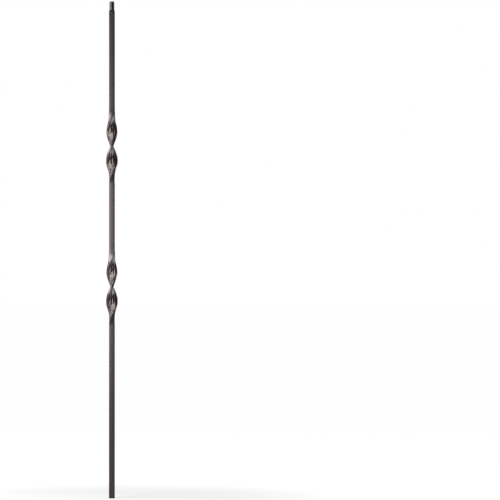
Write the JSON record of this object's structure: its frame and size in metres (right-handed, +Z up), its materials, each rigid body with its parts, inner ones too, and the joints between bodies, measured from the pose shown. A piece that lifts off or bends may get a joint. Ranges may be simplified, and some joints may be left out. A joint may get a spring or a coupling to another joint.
{
  "type": "stair baluster",
  "caption": "Straight square iron stair baluster with flattened, petal-stamped, twisted ribbons and a turned round dowel at its top end.",
  "frame": {"origin": "centre of the sawn lower end, on the tread", "axes": "+Z up along the bar towards the dowel; X and Y square to the bar's faces"},
  "size_m": [0.0264, 0.0258, 1.1176],
  "materials": {
    "satin_iron": "satin powder coat in a very dark purple-brown"
  },
  "bodies": {
    "root": {"baluster": "satin_iron"}
  },
  "joints": []
}
